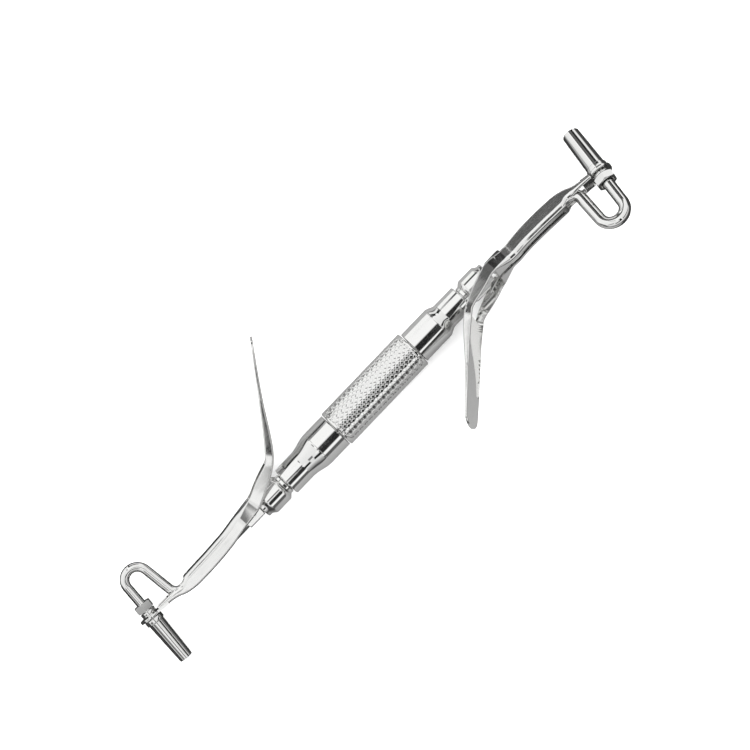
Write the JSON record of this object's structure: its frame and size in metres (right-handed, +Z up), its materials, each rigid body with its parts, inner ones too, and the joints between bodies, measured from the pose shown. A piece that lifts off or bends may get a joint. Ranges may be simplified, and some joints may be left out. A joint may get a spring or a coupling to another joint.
{
  "type": "amalgam carrier",
  "caption": "Double-ended dental amalgam carrier: knurled steel handle with a finger lever, a U-bent rod and a small barrel with a plunger at each end.",
  "frame": {"origin": "centre of the bounding box's bottom face, on the surface it rests on", "axes": "+X along the handle toward the large end, +Z up, +Y completing the right-handed set"},
  "size_m": [0.1658, 0.0568, 0.0179],
  "materials": {
    "polished_steel": "mirror polished stainless steel",
    "satin_steel": "satin stainless sheet",
    "knurled_steel": "diamond knurled stainless steel",
    "plain_steel": "drawn stainless wire and bar"
  },
  "bodies": {
    "handle": {"grip_sleeve": "knurled_steel", "handle_core": "plain_steel", "ferrule_large": "polished_steel", "ferrule_small": "polished_steel", "collar_large": "polished_steel", "collar_small": "polished_steel", "plunger_rod_large": "polished_steel", "plunger_rod_small": "polished_steel", "return_spring_large": "plain_steel", "return_spring_small": "plain_steel"},
    "lever_large": {"lever_large": "satin_steel", "pivot_pin_large": "plain_steel", "barrel_large": "polished_steel", "barrel_washer_large": "polished_steel", "barrel_nut_large": "polished_steel"},
    "lever_small": {"lever_small": "satin_steel", "pivot_pin_small": "plain_steel", "barrel_small": "polished_steel", "barrel_washer_small": "polished_steel", "barrel_nut_small": "polished_steel"},
    "plunger_large": {"plunger_large": "polished_steel"},
    "plunger_small": {"plunger_small": "polished_steel"}
  },
  "joints": [
    {"name": "lever_hinge_large", "type": "hinge", "parent": "handle", "child": "lever_large", "pos_m": [0.04365, -0.00284, 0.00554], "axis": [0, -0.3149, -0.9491], "range_deg": [0, 5], "stiffness_Nm_per_rad": 1, "springref_deg": -14.32},
    {"name": "lever_hinge_small", "type": "hinge", "parent": "handle", "child": "lever_small", "pos_m": [-0.04335, -0.00141, 0.00552], "axis": [0, 0.2895, -0.9572], "range_deg": [0, 5], "stiffness_Nm_per_rad": 1, "springref_deg": -14.32},
    {"name": "plunger_slide_large", "type": "slide", "parent": "lever_large", "child": "plunger_large", "axis": [0.1959, 0.9307, -0.3088], "range_m": [0, 0.003]},
    {"name": "plunger_slide_small", "type": "slide", "parent": "lever_small", "child": "plunger_small", "axis": [-0.1184, -0.9505, -0.2874], "range_m": [0, 0.00315]}
  ],
  "couplings": [
    {"joint": "plunger_slide_large", "follows": "lever_hinge_large", "m_per_rad": 0.034168},
    {"joint": "plunger_slide_small", "follows": "lever_hinge_small", "m_per_rad": 0.035905}
  ]
}
